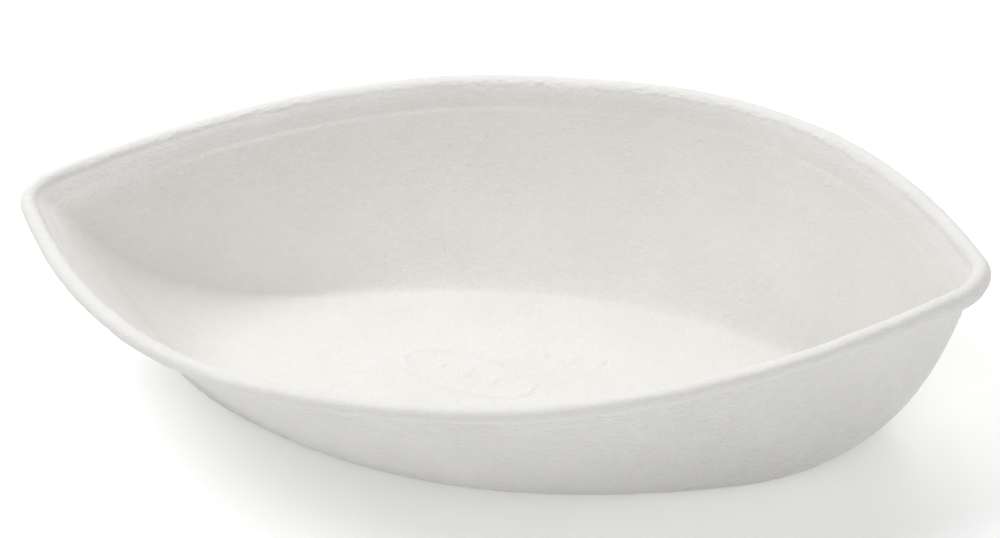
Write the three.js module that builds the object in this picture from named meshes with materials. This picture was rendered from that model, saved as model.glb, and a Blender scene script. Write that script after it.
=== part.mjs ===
// Single-use kidney dish, moulded in one piece from paper pulp.
//
// One closed thin-walled shell with no separate pieces: a flat base, a bowl wall that
// flares out to a boat-shaped (double-pointed) rim, and a rolled bead round the rim.
// Units are millimetres, +Z is up. The origin is the middle of the flat base, X runs
// from point to point and Y across the bowl. The outlines are mirrored about X = 0 and Y = 0;
// the rim stands a little higher at the +X point than at the -X point.
import * as THREE from 'three';

// ---------------------------------------------------------------- driving dimensions
const LENGTH = 270.0;        // over the rim bead, from point to point
const RIM_CORE_B = 55.35;     // half-width of the sharp lens inside the rim outline
const RIM_CORE_P = 2.398;     // exponent of that lens: y = B (1 - |x/A|^P)
const RIM_TIP_R = 10.61;      // tip radius of the bead's centre line
const BEAD_R = 1.50;         // half the bead's overhang beyond the wall
const BEAD_TIP_GROWTH = 0.49; // the bead is this much taller at the two points
const SHEER = 1.49;          // the rim rises by this much from the middle to the points
const RIM_RISE = 4.0;        // the rim is this much higher at +X, and lower at -X, than midway
const RIM_Z = 48.0;          // height of the bead's centre line above the base, mid-length
const WALL = 2.0;            // pulp thickness
const END_TAPER = 0.559;     // inset of the end wall per unit of depth
const END_ROUND = 28.23;      // extra inset where the end wall turns into the base
const END_ROUND_N = 3.20;    // superellipse exponent of that turn
const SIDE_TAPER = 0.277;    // the same three numbers for the side wall
const SIDE_ROUND = 14.0;
const SIDE_ROUND_N = 1.5;
const WALL_TIP_R = 4.5;      // tip radius of the upper part of the wall
const RIM_TIP_SOFTEN = 5.0;  // the wall's tips are blunter by this much right at the rim
const SOFTEN_DEPTH = 0.2;    // depth fraction over which that fades away
const BASE_TIP_R = 26.3;     // tip radius of the base outline
const TIP_R_GROWTH = 3.0;   // the tip radius grows with this power of the depth
const BASE_CORE_P = 1.90;    // lens exponent of the base outline

const SIDE_STEPS = 26;       // divisions along each long side
const TIP_STEPS = 8;         // divisions round each tip
const WALL_STEPS = 13;       // divisions down the wall

const HALF = LENGTH / 2;
const WALL_A = HALF - 2 * BEAD_R;                       // half-length of the wall at the rim
const WALL_B = RIM_CORE_B + RIM_TIP_R - BEAD_R;         // half-width of the wall at the rim

// ---------------------------------------------------------------- outlines
// A lens of half-length a and half-width b with sharp points, offset outwards by r, which
// rounds the points to radius r. Points run anticlockwise from the left tip.
function lens(a, b, p, r) {
  const side = (sign) => {
    const out = [];
    for (let i = 0; i <= SIDE_STEPS; i++) {
      const u = -Math.cos(Math.PI * i / SIDE_STEPS);
      const y = sign * b * (1 - Math.pow(Math.abs(u), p));
      const dy = -b * p * Math.pow(Math.abs(u), p - 1) * Math.sign(u);
      const n = new THREE.Vector2(-dy, sign * a).normalize();
      out.push([a * u, y, n.x, n.y]);
    }
    return out;
  };
  const front = side(-1), back = side(1).reverse();
  const tip = (from, to) => {
    const t0 = Math.atan2(from[3], from[2]);
    let t1 = Math.atan2(to[3], to[2]);
    while (t1 < t0) t1 += 2 * Math.PI;
    const out = [];
    for (let i = 1; i < TIP_STEPS; i++) {
      const t = t0 + (t1 - t0) * i / TIP_STEPS;
      out.push([from[0], from[1], Math.cos(t), Math.sin(t)]);
    }
    return out;
  };
  const all = [
    ...front, ...tip(front[SIDE_STEPS], back[0]),
    ...back, ...tip(back[SIDE_STEPS], front[0]),
  ];
  return all.map(([x, y, nx, ny]) => [x + r * nx, y + r * ny]);
}

const inset = (s, taper, round, n) =>
  taper * RIM_Z * s + round * (1 - Math.pow(1 - Math.pow(s, n), 1 / n));

// Ring of the wall at depth fraction s (0 at the rim, 1 at the base), inner or outer face.
function wallRing(s, inner) {
  const t = inner ? WALL : 0;
  const a = WALL_A - inset(s, END_TAPER, END_ROUND, END_ROUND_N) - t;
  const b = WALL_B - inset(s, SIDE_TAPER, SIDE_ROUND, SIDE_ROUND_N) - t;
  const blunt = RIM_TIP_SOFTEN * Math.pow(Math.max(0, 1 - s / SOFTEN_DEPTH), 2);
  const r = WALL_TIP_R - t + blunt + (BASE_TIP_R - WALL_TIP_R) * Math.pow(s, TIP_R_GROWTH);
  const p = RIM_CORE_P + (BASE_CORE_P - RIM_CORE_P) * s;
  return lens(a - r, b - r, p, r).map(([x, y]) => {
    const u = x / HALF;
    return [x, y, RIM_Z - (RIM_Z - t) * s + (SHEER * u * u + RIM_RISE * u) * (1 - s)];
  });
}

// The bead's section: w is how far the point stands out from the wall's outer face, dz its
// height from the bead's centre line. Negative w lies in the wall itself.
const BEAD = [
  [0.00, -3.5], [0.60, -3.05], [1.70, -2.9], [2.60, -2.35], [3.00, -1.2], [3.00, -0.1],
  [2.55, 0.95], [1.50, 1.50], [0.25, 1.4], [-1.00, 0.8], [-1.75, -0.5], [-2.00, -2.4],
];

function beadRings() {
  const outerRim = lens(HALF - RIM_TIP_R - BEAD_R, RIM_CORE_B, RIM_CORE_P, RIM_TIP_R + BEAD_R);
  const growth = outerRim.map(([x]) => {
    const g = Math.min(Math.max((Math.abs(x) / HALF - 0.72) / 0.28, 0), 1);
    return 1 + BEAD_TIP_GROWTH * g * g * (3 - 2 * g);
  });
  return BEAD.map(([w, dz]) => outerRim.map((rim, i) => {
    const s = Math.max(0, -dz * growth[i]) / RIM_Z;
    const o = wallRing(s, false)[i];
    const to = w >= 0 ? rim : wallRing(s, true)[i];
    const f = w >= 0 ? w / (2 * BEAD_R) : -w / WALL;
    const x = o[0] + (to[0] - o[0]) * f, y = o[1] + (to[1] - o[1]) * f;
    const u = x / HALF;
    return [x, y, RIM_Z + SHEER * u * u + RIM_RISE * u + dz * growth[i]];
  }));
}

// ---------------------------------------------------------------- the shell
// Depth fractions, closer together where the wall turns into the base.
const depths = [];
for (let i = 0; i <= WALL_STEPS; i++) depths.push(1 - Math.pow(1 - i / WALL_STEPS, 1.7));

const rings = [];
for (const s of [...depths].reverse()) if (s > 0.1) rings.push(wallRing(s, false));
rings.push(...beadRings());
for (const s of depths) if (s > 0.1) rings.push(wallRing(s, true));

const N = rings[0].length;
const positions = [];
const index = [];
for (const ring of rings) for (const p of ring) positions.push(...p);
for (let j = 0; j + 1 < rings.length; j++) {
  for (let i = 0; i < N; i++) {
    const a = j * N + i, b = j * N + (i + 1) % N, c = b + N, d = a + N;
    index.push(a, b, c, a, c, d);
  }
}

// Flat caps: the underside of the base and the floor of the bowl. Each is a strip of
// triangles between the front and the back of its outline.
function cap(ring0, up) {
  const shape = rings[ring0].map((p) => new THREE.Vector2(p[0], p[1]));
  for (const [a, b, c] of THREE.ShapeUtils.triangulateShape(shape, [])) {
    const ccw = THREE.ShapeUtils.area([shape[a], shape[b], shape[c]]) > 0;
    const k = ring0 * N;
    if (ccw === up) index.push(k + a, k + b, k + c);
    else index.push(k + a, k + c, k + b);
  }
}
cap(0, false);
cap(rings.length - 1, true);

const shell = new THREE.BufferGeometry();
shell.setAttribute('position', new THREE.Float32BufferAttribute(positions, 3));
shell.setIndex(index);
shell.computeVertexNormals();

const pulp = new THREE.MeshStandardMaterial({ color: 0xf1f0ea, roughness: 0.92, metalness: 0.0 });
const dish = new THREE.Mesh(shell, pulp);
dish.name = 'dish_shell';

const kidneyDish = new THREE.Group();
kidneyDish.add(dish);

export default kidneyDish;
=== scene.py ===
"""Moulded-pulp kidney dish: the visual model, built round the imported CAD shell.

Lengths inside the mesh code are millimetres, in the part's own frame (origin at the middle of
the flat base, X from point to point, Z up). They become metres when a mesh is made.
"""
import math

import bpy
import numpy as np
from mathutils import Matrix, Vector


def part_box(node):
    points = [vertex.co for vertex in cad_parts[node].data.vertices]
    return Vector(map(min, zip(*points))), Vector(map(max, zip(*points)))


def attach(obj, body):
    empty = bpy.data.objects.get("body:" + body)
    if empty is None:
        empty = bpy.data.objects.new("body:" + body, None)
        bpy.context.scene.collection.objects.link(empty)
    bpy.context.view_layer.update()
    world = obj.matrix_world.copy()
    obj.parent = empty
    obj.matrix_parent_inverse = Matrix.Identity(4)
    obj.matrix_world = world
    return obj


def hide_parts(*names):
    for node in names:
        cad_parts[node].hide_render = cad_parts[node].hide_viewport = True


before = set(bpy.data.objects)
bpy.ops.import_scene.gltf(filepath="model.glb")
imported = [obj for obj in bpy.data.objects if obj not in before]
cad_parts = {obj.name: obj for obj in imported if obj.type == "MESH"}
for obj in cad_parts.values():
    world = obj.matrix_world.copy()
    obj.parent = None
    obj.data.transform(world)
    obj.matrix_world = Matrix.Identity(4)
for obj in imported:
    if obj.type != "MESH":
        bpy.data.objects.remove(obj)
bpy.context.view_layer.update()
node_lo, node_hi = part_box("dish_shell")
scene = bpy.context.scene

# ------------------------------------------------------------------ dimensions (mm)
LENGTH = (node_hi.x - node_lo.x) * 1000.0
HALF = LENGTH / 2
RIM_CORE_B, RIM_CORE_P, RIM_TIP_R = 55.35, 2.398, 10.61
BEAD_R, BEAD_TIP_GROWTH, SHEER, RIM_RISE, RIM_Z, WALL = 1.50, 0.49, 1.49, 4.0, 48.0, 2.0
END_TAPER, END_ROUND, END_ROUND_N = 0.559, 28.23, 3.20
SIDE_TAPER, SIDE_ROUND, SIDE_ROUND_N = 0.277, 14.0, 1.5
WALL_TIP_R, BASE_TIP_R, TIP_R_GROWTH, BASE_CORE_P = 4.5, 26.3, 3.0, 1.90
RIM_TIP_SOFTEN, SOFTEN_DEPTH = 5.0, 0.2
WALL_A = HALF - 2 * BEAD_R
WALL_B = RIM_CORE_B + RIM_TIP_R - BEAD_R

NS = 520            # divisions along each long side
NT = 48             # divisions round each tip, an even number
N_OUT = 150         # divisions down the outer face of the wall
N_IN = 120          # and down its inner face
N_RUNG = 96         # divisions across the base and the floor

# ------------------------------------------------------------------ noise


def _hash(ix, iy, iz, seed):
    h = (ix.astype(np.int64) * 374761393 + iy.astype(np.int64) * 668265263
         + iz.astype(np.int64) * 2147483647 + seed * 1274126177) & 0xFFFFFFFF
    h = ((h ^ (h >> 13)) * 1274126177) & 0xFFFFFFFF
    h = ((h ^ (h >> 16)) * 2246822519) & 0xFFFFFFFF
    return (h ^ (h >> 15)) & 0xFFFFFFFF


def noise(p, size, seed=0):
    """Smooth gradient noise, about -1 to 1, with features of the given size (one or three)."""
    q = np.asarray(p, float) / size + 1000.0
    i = np.floor(q).astype(np.int64)
    f = q - i
    w = f * f * f * (f * (f * 6 - 15) + 10)
    total = 0.0
    for dx in (0, 1):
        for dy in (0, 1):
            for dz in (0, 1):
                h = _hash(i[:, 0] + dx, i[:, 1] + dy, i[:, 2] + dz, seed)
                g = np.stack([(h & 1023) / 511.5 - 1, ((h >> 10) & 1023) / 511.5 - 1,
                              ((h >> 20) & 1023) / 511.5 - 1], 1)
                d = f - np.array([dx, dy, dz])
                wt = ((w[:, 0] if dx else 1 - w[:, 0]) * (w[:, 1] if dy else 1 - w[:, 1])
                      * (w[:, 2] if dz else 1 - w[:, 2]))
                total = total + wt * (g * d).sum(1)
    return total * 1.45


def smooth(x, a, b):
    t = np.clip((x - a) / (b - a), 0, 1)
    return t * t * (3 - 2 * t)


def rim_lift(u):
    """How far the rim stands above its mid-length height, u from -1 to 1 along the dish."""
    return SHEER * u * u + RIM_RISE * u


# ------------------------------------------------------------------ outlines
U = np.linspace(-1, 1, NS + 1)
TA = np.arange(1, NT) / NT
N = 2 * (NS + 1) + 2 * (NT - 1)


def lens(a, b, p, r):
    """The lens outline (see part.mjs), anticlockwise from the left tip: points and normals."""
    def side(sign):
        y = sign * b * (1 - np.abs(U) ** p)
        dy = -b * p * np.abs(U) ** (p - 1) * np.sign(U) * sign
        n = np.stack([-dy * sign, np.full_like(U, sign * a)], 1)
        return np.stack([a * U, y], 1), n / np.linalg.norm(n, axis=1)[:, None]
    (fp, fn), (bp, bn) = side(-1), side(1)
    bp, bn = bp[::-1], bn[::-1]

    def tip(p0, n0, n1):
        t0, t1 = math.atan2(n0[1], n0[0]), math.atan2(n1[1], n1[0])
        while t1 < t0:
            t1 += 2 * math.pi
        t = t0 + (t1 - t0) * TA
        return np.repeat(p0[None], len(t), 0), np.stack([np.cos(t), np.sin(t)], 1)
    rp, rn = tip(fp[-1], fn[-1], bn[0])
    lp, ln = tip(bp[-1], bn[-1], fn[0])
    P = np.concatenate([fp, rp, bp, lp])
    M = np.concatenate([fn, rn, bn, ln])
    return P + r * M, M


def inset(s, taper, rnd, n):
    return taper * RIM_Z * s + rnd * (1 - (1 - s ** n) ** (1 / n))


def wall_ring(s, inner):
    t = WALL if inner else 0.0
    a = WALL_A - inset(s, END_TAPER, END_ROUND, END_ROUND_N) - t
    b = WALL_B - inset(s, SIDE_TAPER, SIDE_ROUND, SIDE_ROUND_N) - t
    blunt = RIM_TIP_SOFTEN * max(0.0, 1 - s / SOFTEN_DEPTH) ** 2
    r = WALL_TIP_R - t + blunt + (BASE_TIP_R - WALL_TIP_R) * s ** TIP_R_GROWTH
    p = RIM_CORE_P + (BASE_CORE_P - RIM_CORE_P) * s
    P, _ = lens(a - r, b - r, p, r)
    u = P[:, 0] / HALF
    return np.column_stack([P, RIM_Z - (RIM_Z - t) * s + rim_lift(u) * (1 - s)])


def spline(points, step):
    """A Catmull-Rom curve through the points, sampled about every step of its first two columns."""
    p = np.asarray(points, float)
    q = np.concatenate([[2 * p[0] - p[1]], p, [2 * p[-1] - p[-2]]])
    out = []
    for i in range(1, len(q) - 2):
        n = max(1, int(round(np.linalg.norm((q[i + 1] - q[i])[:2]) / step)))
        for t in np.arange(n) / n:
            out.append(0.5 * (2 * q[i] + (q[i + 1] - q[i - 1]) * t
                              + (2 * q[i - 1] - 5 * q[i] + 4 * q[i + 1] - q[i + 2]) * t * t
                              + (3 * q[i] - q[i - 1] - 3 * q[i + 1] + q[i + 2]) * t ** 3))
    out.append(p[-1])
    return np.array(out)


# The bead's section: w out from the wall's outer face and dz from the bead's centre line, for
# mid-length (first pair) and for the two points (second pair), where the skirt is fuller.
BEAD = [
    (0.00, -4.4, 0.00, -3.2), (0.30, -3.8, 0.25, -2.85), (0.80, -3.3, 0.85, -2.55),
    (1.50, -2.90, 1.60, -2.30), (2.15, -2.45, 2.25, -1.92), (2.60, -1.75, 2.70, -1.35),
    (2.78, -0.85, 2.88, -0.60), (2.74, 0.05, 2.82, 0.15), (2.40, 0.80, 2.45, 0.80),
    (1.75, 1.26, 1.75, 1.22), (0.85, 1.42, 0.80, 1.40), (-0.10, 1.30, -0.10, 1.34),
    (-0.95, 0.86, -0.95, 0.95), (-1.52, 0.15, -1.52, 0.25), (-1.85, -0.9, -1.85, -0.8),
    (-2.00, -2.6, -2.00, -2.6)]

outer_rim, rim_n = lens(HALF - RIM_TIP_R - BEAD_R, RIM_CORE_B, RIM_CORE_P, RIM_TIP_R + BEAD_R)
seg = np.linalg.norm(np.roll(outer_rim, -1, 0) - outer_rim, axis=1)
PERIM = np.concatenate([[0], np.cumsum(seg)[:-1]])      # distance round the rim
PERIM_R = seg.sum() / (2 * np.pi)
# the same distance wound on a circle, so that patterns close on themselves
WOUND = np.column_stack([np.cos(PERIM / PERIM_R), np.sin(PERIM / PERIM_R)]) * PERIM_R


NEAR = np.linspace(0, 0.2, 21)                          # depth fractions just under the rim
near_rim = {side: np.array([wall_ring(s, side)[:, :2] for s in NEAR]) for side in (False, True)}


def wall_near(s, inner):
    """The wall's outline just under the rim, with a depth fraction for each point of the ring."""
    k = np.clip(s / NEAR[1], 0, len(NEAR) - 1.001)
    j = k.astype(int)
    f = (k - j)[:, None]
    every = np.arange(N)
    return near_rim[inner][j, every] * (1 - f) + near_rim[inner][j + 1, every] * f


def bead_ring(row):
    """One line of the bead round the whole rim, from a row of BEAD."""
    u = near_rim[False][0][:, 0] / HALF
    k = smooth(np.abs(u), 0.55, 0.97)
    w = row[0] + (row[2] - row[0]) * k
    dz = (row[1] + (row[3] - row[1]) * k) * (1 + BEAD_TIP_GROWTH * smooth(np.abs(u), 0.72, 1.0))
    s = np.maximum(0, -dz) / RIM_Z
    o, i = wall_near(s, False), wall_near(s, True)
    wo, wi = np.maximum(w, 0)[:, None], np.maximum(-w, 0)[:, None]
    q = o + (outer_rim - o) * wo / (2 * BEAD_R) + (i - o) * wi / WALL
    return np.column_stack([q, RIM_Z + rim_lift(q[:, 0] / HALF) + dz])


# depth fractions evenly spaced along the wall
fine = np.linspace(0, 1, 4000)
side_x = np.array([inset(s, SIDE_TAPER, SIDE_ROUND, SIDE_ROUND_N) for s in fine])
end_x = np.array([inset(s, END_TAPER, END_ROUND, END_ROUND_N) for s in fine])
arc = 0.5 * (np.concatenate([[0], np.cumsum(np.hypot(np.diff(side_x), RIM_Z * np.diff(fine)))])
             + np.concatenate([[0], np.cumsum(np.hypot(np.diff(end_x), RIM_Z * np.diff(fine)))]))


def depths(s0, n):
    a0 = np.interp(s0, fine, arc)
    return np.interp(np.linspace(a0, arc[-1], n + 1), arc, fine)


bead = spline(BEAD, 0.36)
s_out, s_in = 6.4 / RIM_Z, 4.8 / RIM_Z
rings = [wall_ring(s, False) for s in depths(s_out, N_OUT)[::-1]]
rings += [bead_ring(row) for row in bead]
rings += [wall_ring(s, True) for s in depths(s_in, N_IN)]
G = np.array(rings)                                   # stations x N x 3
M = len(G)

du = np.roll(G, -1, 1) - np.roll(G, 1, 1)
NORM = np.cross(du, np.gradient(G, axis=0))
NORM /= np.linalg.norm(NORM, axis=2, keepdims=True)
NORM[0], NORM[-1] = (0, 0, -1), (0, 0, 1)

# distance along the section from the crest, negative outside
mid_section = G[:, NS // 2]
prof = np.concatenate([[0], np.cumsum(np.linalg.norm(np.diff(mid_section, axis=0), axis=1))])
prof -= prof[np.argmax(mid_section[:, 2])]
P3 = np.broadcast_to(prof[:, None], (M, N))
is_in = smooth(P3, -0.5, 1.5)
end = smooth(np.abs(G[..., 0]) / HALF, 0.55, 0.95)     # 1 near the two points
depth = RIM_Z + rim_lift(G[..., 0] / HALF) - G[..., 2]

# ------------------------------------------------------------------ the surface's own shape
flat = G.reshape(-1, 3)
wound3 = np.column_stack([WOUND, np.zeros(N)])
# coordinates that follow the wall: wound distance round it, and distance along the section
wrap = np.concatenate([np.broadcast_to(WOUND[None], (M, N, 2)), P3[..., None]], 2).reshape(-1, 3)


def field(p, size, seed):
    return noise(p, size, seed).reshape(M, N)


def ring_noise(size, seed):
    return noise(wound3, size, seed)[None]


shift = np.zeros_like(G)
# slow warps of the dried pulp, the same on both faces, so the wall keeps its thickness
squeezed = flat * (0.6, 1.0, 1.4)
slow = (field(squeezed, 44.0, 3) * 0.24 + field(squeezed, 19.0, 5) * 0.11 - 0.14)
shift += np.column_stack([rim_n, np.zeros(N)])[None] * (slow * smooth(G[..., 2], 3.0, 16.0))[..., None]
# the rim rises and falls slightly
wave = ring_noise(36.0, 11) * 0.26 + ring_noise(14.0, 12) * 0.15 + ring_noise(5.0, 13) * 0.045
shift[..., 2] += (wave - 0.12) * smooth(-depth, -16.0, -1.0)

disp = np.zeros((M, N))
back = smooth(G[..., 1], 5, 35)
# bead: the skirt's edge is uneven, and the crest turns in along a ragged, fibrous line
edge = smooth(P3, -7.2, -5.4) * (1 - smooth(P3, -3.6, -1.6))
disp += edge * (ring_noise(9.0, 21) * 0.14 + ring_noise(3.4, 22) * 0.10)
turn_at = 1.8 + ring_noise(7.0, 30) * 0.5
turn = np.exp(-((P3 - turn_at) / 0.9) ** 2)
patch = smooth(ring_noise(26.0, 31) + 0.2, -0.25, 0.45)
rag = (field(wrap, (2.6, 2.6, 1.1), 32) * 0.6 + field(wrap, (1.3, 1.3, 0.8), 33) * 0.5
       - np.abs(field(wrap, (4.5, 4.5, 1.6), 34)) * 0.7 + 0.2)
disp += turn * (0.10 + 0.36 * patch * (0.25 + 0.75 * back) * (1 - 0.6 * end)) * rag
on_bead = smooth(P3, -7.0, -4.5) * (1 - smooth(P3, 3.6, 6.0))
disp += on_bead * (field(wrap, (5.5, 5.5, 2.2), 41) * 0.05 + field(wrap, (2.2, 2.2, 1.5), 42) * 0.05)

# where the dishes nest in a stack: a shallow line inside, clearest along the middle of each side
line = 8.3 + ring_noise(40.0, 51) * 0.25
clear = (1 - 0.5 * end) * (0.55 + 0.45 * smooth(ring_noise(60.0, 52) + 0.35, -0.3, 0.5)) * (0.4 + 0.6 * back)
disp -= 0.27 * clear * np.exp(-((P3 - line) / 0.5) ** 2)
disp += 0.07 * clear * (1 - smooth(P3, line - 0.9, line + 0.3)) * smooth(P3, 3.2, 5.6)


def grain(p):
    """Fine pebbles of the felted fibres, mm."""
    return noise(p, 2.6, 61) * 0.045 + noise(p, 1.35, 62) * 0.042


# the forming screen leaves level, streaky ridges on the outside
streak = field(wrap, (5.0, 5.0, 1.0), 65) * 0.065 + field(wrap, (2.6, 2.6, 0.8), 66) * 0.060
below = 1 - smooth(P3, -8.0, -5.0)
disp += grain(flat).reshape(M, N) * (1 - 0.35 * below * (1 - is_in)) + streak * below
disp += field(flat, 30.0, 71) * 0.10 * is_in * (1 - smooth(G[..., 2], 2.0, 14.0))
disp *= np.where(np.arange(M)[:, None] == 0, 0.0, 1.0)


def emboss(x, y):
    """Raised mould mark on the floor, 0 to 1: a plain oval ring, and pips in it and beside it."""
    def turned(at, deg):
        c, s = math.cos(math.radians(deg)), math.sin(math.radians(deg))
        return (x - at[0]) * c + (y - at[1]) * s, -(x - at[0]) * s + (y - at[1]) * c
    u, v = turned((-15.3, 1.4), -9.0)
    a, b = 20.0, 6.9
    r = np.hypot(u / a, v / b)
    gap = (r - 1) * r / np.maximum(np.hypot(u / a ** 2, v / b ** 2), 1e-6)   # distance from the oval
    h = np.exp(-(gap / 0.78) ** 2)
    for k in (-1, 0, 1):
        h = np.maximum(h, np.exp(-(np.hypot(u - 8.5 * k, v) / 1.25) ** 4))
    u, v = turned((9.6, 12.0), -1.0)
    for k in (-1, 0, 1):
        h = np.maximum(h, np.exp(-(np.hypot(u - 8.0 * k, v) / 1.1) ** 4))
    return h


# ------------------------------------------------------------------ one closed mesh
co = G + shift + NORM * disp[..., None]
idx = np.arange(M * N).reshape(M, N)
nxt = np.roll(idx, -1, 1)
verts = [co.reshape(-1, 3)]
quads = [np.stack([idx[:-1], nxt[:-1], nxt[1:], idx[1:]], -1).reshape(-1, 4)]
tris = []
attr = {"wx": [wrap[:, 0]], "wy": [wrap[:, 1]], "along": [wrap[:, 2]],
        "inside": [is_in.ravel()], "sheet": [np.zeros(M * N)]}
# the floor and the underside: rungs from the front of the outline to its back
rung = np.arange(1 - NT // 2, NS + NT // 2)
front_i, back_i = rung % N, 2 * NS + NT - rung
left_tip, right_tip = N - NT // 2, NS + NT // 2
count = M * N
for station, up in ((M - 1, True), (0, False)):
    A, B = G[station][front_i], G[station][back_i]
    t = (np.arange(1, N_RUNG) / N_RUNG)[None, :, None]
    pts = (A[:, None] * (1 - t) + B[:, None] * t).reshape(-1, 3)
    if up:
        pts = pts + np.array([0, 0, 1.0]) * (grain(pts) + noise(pts, 30.0, 71) * 0.10
                                             + 0.38 * emboss(pts[:, 0], pts[:, 1]))[:, None]
    else:
        inner_part = smooth(np.minimum(t, 1 - t) * np.linalg.norm(B - A, axis=1)[:, None, None], 0.5, 5.0)
        pts = pts + np.array([0, 0, 1.0]) * (inner_part.reshape(-1) * (0.10 + grain(pts)))[:, None]
    mine = count + np.arange(len(pts)).reshape(len(rung), N_RUNG - 1)
    full = np.concatenate([station * N + front_i[:, None], mine, station * N + back_i[:, None]], 1)
    q = np.stack([full[:-1, :-1], full[1:, :-1], full[1:, 1:], full[:-1, 1:]], -1).reshape(-1, 4)
    fans = [np.stack([row[:-1], row[1:], np.full(N_RUNG, station * N + tip)], -1)[:, ::turn_way]
            for row, tip, turn_way in ((full[0], left_tip, 1), (full[-1], right_tip, -1))]
    quads.append(q if up else q[:, ::-1])
    tris += [f if up else f[:, ::-1] for f in fans]
    verts.append(pts)
    for key, val in (("wx", pts[:, 0]), ("wy", pts[:, 1]), ("along", pts[:, 2] * 0),
                     ("inside", pts[:, 2] * 0 + up), ("sheet", pts[:, 2] * 0 + 1)):
        attr[key].append(val)
    count += len(pts)
V = np.concatenate(verts)
# nothing leaves the CAD shell's box
V[:, 0] = np.clip(V[:, 0], node_lo.x * 1000, node_hi.x * 1000)
V[:, 1] = np.clip(V[:, 1], node_lo.y * 1000, node_hi.y * 1000)
V[:, 2] = np.clip(V[:, 2], node_lo.z * 1000, node_hi.z * 1000)

quads, tris = np.concatenate(quads), np.concatenate(tris)
mesh = bpy.data.meshes.new("pulp_dish")
mesh.vertices.add(len(V))
mesh.vertices.foreach_set("co", (V / 1000.0).astype(np.float32).ravel())
loops = np.concatenate([quads.ravel(), tris.ravel()]).astype(np.int32)
starts = np.concatenate([np.arange(len(quads)) * 4, len(quads) * 4 + np.arange(len(tris)) * 3])
mesh.loops.add(len(loops))
mesh.loops.foreach_set("vertex_index", loops)
mesh.polygons.add(len(starts))
mesh.polygons.foreach_set("loop_start", starts.astype(np.int32))
mesh.update(calc_edges=True)
mesh.validate()
for key, val in attr.items():
    mesh.attributes.new(key, "FLOAT", "POINT").data.foreach_set("value", np.concatenate(val).astype(np.float32))
mesh.polygons.foreach_set("use_smooth", np.ones(len(mesh.polygons), bool))
mesh.update()
dish = bpy.data.objects.new("pulp_dish", mesh)
scene.collection.objects.link(dish)


# ------------------------------------------------------------------ pulp material
class Nodes:
    """Short names for building a node tree."""

    def __init__(self, tree):
        self.tree = tree

    def add(self, kind, **props):
        n = self.tree.nodes.new(kind)
        for k, v in props.items():
            setattr(n, k, v)
        return n

    def put(self, socket, value):
        if isinstance(value, bpy.types.NodeSocket):
            self.tree.links.new(value, socket)
        else:
            socket.default_value = value

    def math(self, op, *args):
        n = self.add("ShaderNodeMath", operation=op)
        for i, v in enumerate(args):
            self.put(n.inputs[i], v)
        return n.outputs[0]

    def vec(self, op, *args):
        n = self.add("ShaderNodeVectorMath", operation=op)
        for i, v in enumerate(args):
            self.put(n.inputs[i], v)
        return n.outputs["Value" if op in ("LENGTH", "DISTANCE", "DOT_PRODUCT") else "Vector"]

    def noise(self, vec, scale, detail=2.0, rough=0.5, distort=0.0):
        n = self.add("ShaderNodeTexNoise")
        self.put(n.inputs["Vector"], vec)
        for k, v in (("Scale", scale), ("Detail", detail), ("Roughness", rough), ("Distortion", distort)):
            n.inputs[k].default_value = v
        return n.outputs["Fac"]

    def ramp(self, fac, a, b, lo=0.0, hi=1.0):
        n = self.add("ShaderNodeMapRange", interpolation_type="SMOOTHSTEP")
        for k, v in (("From Min", a), ("From Max", b), ("To Min", lo), ("To Max", hi)):
            n.inputs[k].default_value = v
        self.put(n.inputs["Value"], fac)
        return n.outputs["Result"]

    def attribute(self, name):
        return self.add("ShaderNodeAttribute", attribute_name=name).outputs["Fac"]


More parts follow.
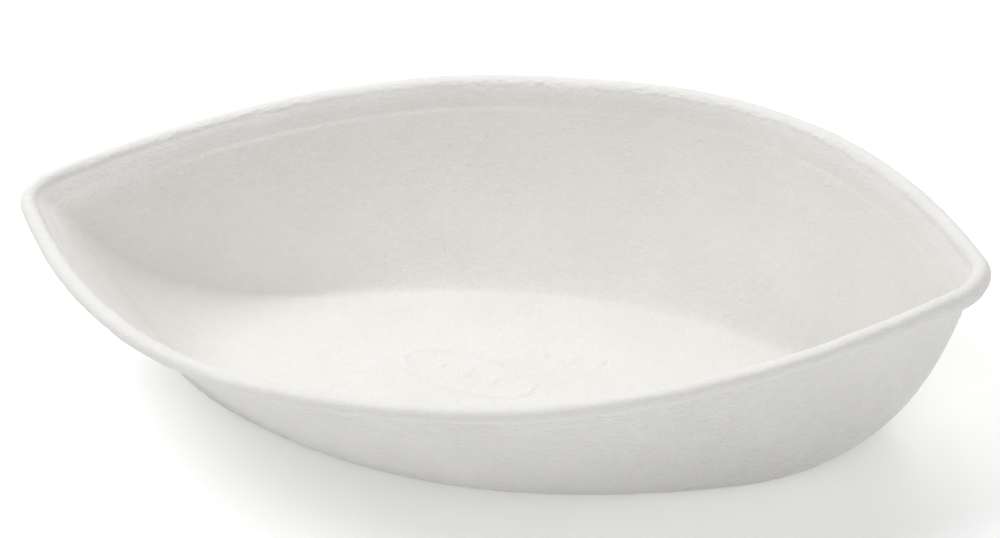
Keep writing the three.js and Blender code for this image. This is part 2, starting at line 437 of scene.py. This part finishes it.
def pulp_material():
    mat = bpy.data.materials.new("moulded_pulp")
    mat.use_nodes = True
    mat.node_tree.nodes.clear()
    T = Nodes(mat.node_tree)
    out = T.add("ShaderNodeOutputMaterial")
    bsdf = T.add("ShaderNodeBsdfPrincipled")
    T.tree.links.new(bsdf.outputs[0], out.inputs["Surface"])
    pos = T.vec("MULTIPLY", T.add("ShaderNodeTexCoord").outputs["Object"], (1000, 1000, 1000))   # mm
    comb = T.add("ShaderNodeCombineXYZ")
    for i, name in enumerate(("wx", "wy", "along")):
        T.put(comb.inputs[i], T.attribute(name))
    wrapped = comb.outputs[0]
    inside, sheet, along = T.attribute("inside"), T.attribute("sheet"), T.attribute("along")
    wall_out = T.math("MULTIPLY", T.math("SUBTRACT", 1.0, inside), T.ramp(along, -5.0, -8.0))
    # the screen marks fade towards the two points
    reach = T.vec("LENGTH", T.vec("MULTIPLY", pos, (1.0, 0.0, 0.0)))
    wall_out = T.math("MULTIPLY", wall_out, T.ramp(reach, 70.0, 122.0, 1.0, 0.3))

    # colour: warm white, clouded, with darker and lighter fibres
    cloud = T.ramp(T.noise(pos, 0.055, 3), 0.3, 0.7, -0.5, 0.5)
    mottle = T.ramp(T.noise(pos, 0.42, 3, 0.6), 0.25, 0.75, -0.5, 0.5)
    fleck = T.ramp(T.noise(T.vec("MULTIPLY", pos, (1.0, 1.6, 0.8)), 1.9, 4, 0.65, 1.2), 0.66, 0.76)
    tone = T.math("ADD", T.math("MULTIPLY", cloud, 0.35), T.math("MULTIPLY", mottle, 0.30))
    tone = T.math("SUBTRACT", tone, T.math("MULTIPLY", fleck, 0.22))
    mix = T.add("ShaderNodeMix", data_type="RGBA", blend_type="MIX")
    mix.inputs[6].default_value = (0.776, 0.766, 0.736, 1)
    mix.inputs[7].default_value = (0.834, 0.825, 0.800, 1)
    T.put(mix.inputs[0], T.math("ADD", tone, 0.5))
    colour = mix.outputs[2]
    # a few specks of bark in the pulp: place (mm) and stretch
    speck = None
    for at, stretch in SPECKS:
        d = T.vec("LENGTH", T.vec("MULTIPLY", T.vec("SUBTRACT", pos, at), stretch))
        s = T.ramp(d, 1.0, 0.45)
        speck = s if speck is None else T.math("MAXIMUM", speck, s)
    mix2 = T.add("ShaderNodeMix", data_type="RGBA", blend_type="MIX")
    T.put(mix2.inputs[0], T.math("MULTIPLY", speck, 0.17))
    T.put(mix2.inputs[6], colour)
    mix2.inputs[7].default_value = (0.40, 0.38, 0.34, 1)
    # the outside is toned down a little; the amount was set against the light on it
    # painted shade: the outer wall below the bead, skirt included, is coloured 7.5% darker to stand in for the
    # shade the lamps leave too light there
    outside_painted_shade = T.math("MULTIPLY", T.math("SUBTRACT", 1.0, inside), T.ramp(along, -1.6, -3.8))
    mix3 = T.add("ShaderNodeMix", data_type="RGBA", blend_type="MULTIPLY")
    T.put(mix3.inputs[0], outside_painted_shade)
    T.put(mix3.inputs[6], mix2.outputs[2])
    mix3.inputs[7].default_value = (0.925, 0.925, 0.925, 1)
    T.put(bsdf.inputs["Base Color"], mix3.outputs[2])

    # relief: felted fibres, and outside the level streaks left by the forming screen
    fibre = T.noise(T.vec("MULTIPLY", pos, (1.0, 1.0, 1.0)), 1.0, 4, 0.62, 0.6)
    fuzz = T.noise(pos, 2.7, 2, 0.5)
    streak = T.noise(T.vec("MULTIPLY", wrapped, (0.34, 0.34, 1.15)), 1.0, 3, 0.6)
    screen = T.math("SINE", T.math("ADD", T.math("MULTIPLY", along, 2 * math.pi / 1.25),
                                   T.math("MULTIPLY", T.noise(T.vec("MULTIPLY", wrapped, (0.05, 0.05, 0.08)), 1.0, 2), 9.0)))
    fine_h = T.math("ADD", T.math("MULTIPLY", fibre, 0.75), T.math("MULTIPLY", fuzz, 0.45))
    out_h = T.math("ADD", T.math("MULTIPLY", streak, 1.5), T.math("MULTIPLY", screen, 0.26))
    height = T.math("ADD", fine_h, T.math("MULTIPLY", out_h, wall_out))
    bump = T.add("ShaderNodeBump")
    bump.inputs["Strength"].default_value = 0.85
    bump.inputs["Distance"].default_value = 0.00035
    T.put(bump.inputs["Height"], height)
    T.put(bsdf.inputs["Normal"], bump.outputs[0])

    T.put(bsdf.inputs["Roughness"], T.ramp(T.noise(pos, 0.9, 3, 0.6), 0.3, 0.7, 0.86, 0.97))
    bsdf.inputs["Specular IOR Level"].default_value = 0.22
    bsdf.inputs["Sheen Weight"].default_value = 0.04
    bsdf.inputs["Sheen Roughness"].default_value = 0.6
    return mat


SPECKS = [((-28.5, 55.6, 35.4), (2.4, 1.0, 1.1)), ((-38.6, 52.6, 33.3), (2.0, 1.0, 1.4)),
          ((-33.4, 51.2, 28.6), (1.3, 1.0, 2.2)), ((32.8, 56.6, 40.5), (1.3, 1.0, 2.0))]
mesh.materials.append(pulp_material())
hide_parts("dish_shell")
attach(dish, "root")

# ------------------------------------------------------------------ floor
floor_mesh = bpy.data.meshes.new("studio_floor")
ring64 = [(4.0 * math.cos(t), 4.0 * math.sin(t), 0.0) for t in np.linspace(0, 2 * math.pi, 65)[:-1]]
floor_mesh.from_pydata(ring64, [], [list(range(64))])
floor = bpy.data.objects.new("studio_floor", floor_mesh)
scene.collection.objects.link(floor)
fm = bpy.data.materials.new("studio_floor")
fm.use_nodes = True
fb = fm.node_tree.nodes["Principled BSDF"]
fb.inputs["Base Color"].default_value = (0.95, 0.95, 0.95, 1)
fb.inputs["Roughness"].default_value = 0.95
fb.inputs["Specular IOR Level"].default_value = 0.0
FLOOR_GLOW = 0.19
fb.inputs["Emission Color"].default_value = (1, 1, 1, 1)
fb.inputs["Emission Strength"].default_value = FLOOR_GLOW
floor_mesh.materials.append(fm)

# ------------------------------------------------------------------ light
WORLD = 0.38
world = bpy.data.worlds.new("studio")
scene.world = world
world.use_nodes = True
world.node_tree.nodes["Background"].inputs[0].default_value = (1, 1, 1, 1)
world.node_tree.nodes["Background"].inputs[1].default_value = WORLD


def softbox(name, azimuth, elevation, power):
    """A square softbox 1.3 m away, turned to the dish."""
    data = bpy.data.lights.new(name, "AREA")
    data.shape = "SQUARE"
    data.size = 0.7
    data.energy = power
    az, el = math.radians(azimuth), math.radians(elevation)
    to_light = Vector((math.cos(az) * math.cos(el), math.sin(az) * math.cos(el), math.sin(el)))
    o = bpy.data.objects.new(name, data)
    o.location = Vector((0, 0, 0.02)) + to_light * 1.3
    o.rotation_mode = "QUATERNION"
    o.rotation_quaternion = (-to_light).to_track_quat("-Z", "Y")
    scene.collection.objects.link(o)
    return o


softbox("key_left", 180, 60, 7.6)
softbox("back_high", 90, 60, 4.6)
softbox("back_low", 90, 32, 2.0)
softbox("front_low", 291, 32, 2.2)
softbox("right_low", 0, 32, 0.9)
softbox("left_low", 180, 32, 0.7)

scene.view_settings.view_transform = "Standard"
scene.view_settings.look = "None"

# ------------------------------------------------------------------ camera
AZ, EL, ROLL = math.radians(34.866), math.radians(35.361), math.radians(-14.745)
DIST, F_PX, TX, TZ = 1164.698, 4696.603, -0.191, 11.446
back_v = Vector((math.sin(AZ) * math.cos(EL), -math.cos(AZ) * math.cos(EL), math.sin(EL)))
right_v = (-back_v).cross(Vector((0, 0, 1))).normalized()
up_v = right_v.cross(-back_v)
r2 = right_v * math.cos(ROLL) + up_v * math.sin(ROLL)
u2 = -right_v * math.sin(ROLL) + up_v * math.cos(ROLL)
aim = Vector((0, 0, RIM_Z / 2)) + r2 * TX + u2 * TZ
cam_data = bpy.data.cameras.new("camera")
cam_data.sensor_width = 36.0
cam_data.lens = F_PX / 1000.0 * 36.0
cam_data.clip_start, cam_data.clip_end = 0.05, 20.0
cam = bpy.data.objects.new("camera", cam_data)
rot = Matrix((r2, u2, back_v)).transposed()
cam.matrix_world = Matrix.Translation((aim + back_v * DIST) / 1000.0) @ rot.to_4x4()
scene.collection.objects.link(cam)
scene.camera = cam
